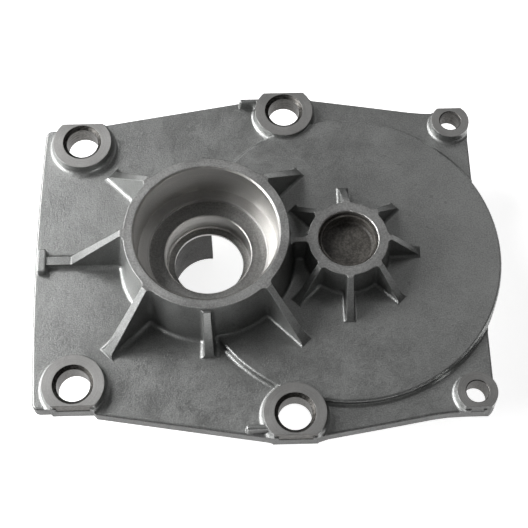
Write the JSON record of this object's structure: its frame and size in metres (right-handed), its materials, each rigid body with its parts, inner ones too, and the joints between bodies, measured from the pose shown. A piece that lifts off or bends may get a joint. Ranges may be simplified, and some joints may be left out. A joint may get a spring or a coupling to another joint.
{
  "type": "gearbox cover",
  "caption": "Cast gearbox cover with a ribbed, stepped bearing boss, a smaller plugged hub on a raised disc, corner bolt bosses and a half collar below.",
  "frame": {"origin": "axis of the big stepped bore at the level of the mating face", "axes": "+Z along the bore out of the bearing seat, +X from the big bore towards the plugged hub"},
  "size_m": [0.2088, 0.1684, 0.0646],
  "materials": {
    "cast_alloy": "as cast, with machined bores and faces",
    "plug": "matte rubber-coated steel"
  },
  "bodies": {
    "root": {"cover": "cast_alloy", "bore_plug": "plug"}
  },
  "joints": []
}
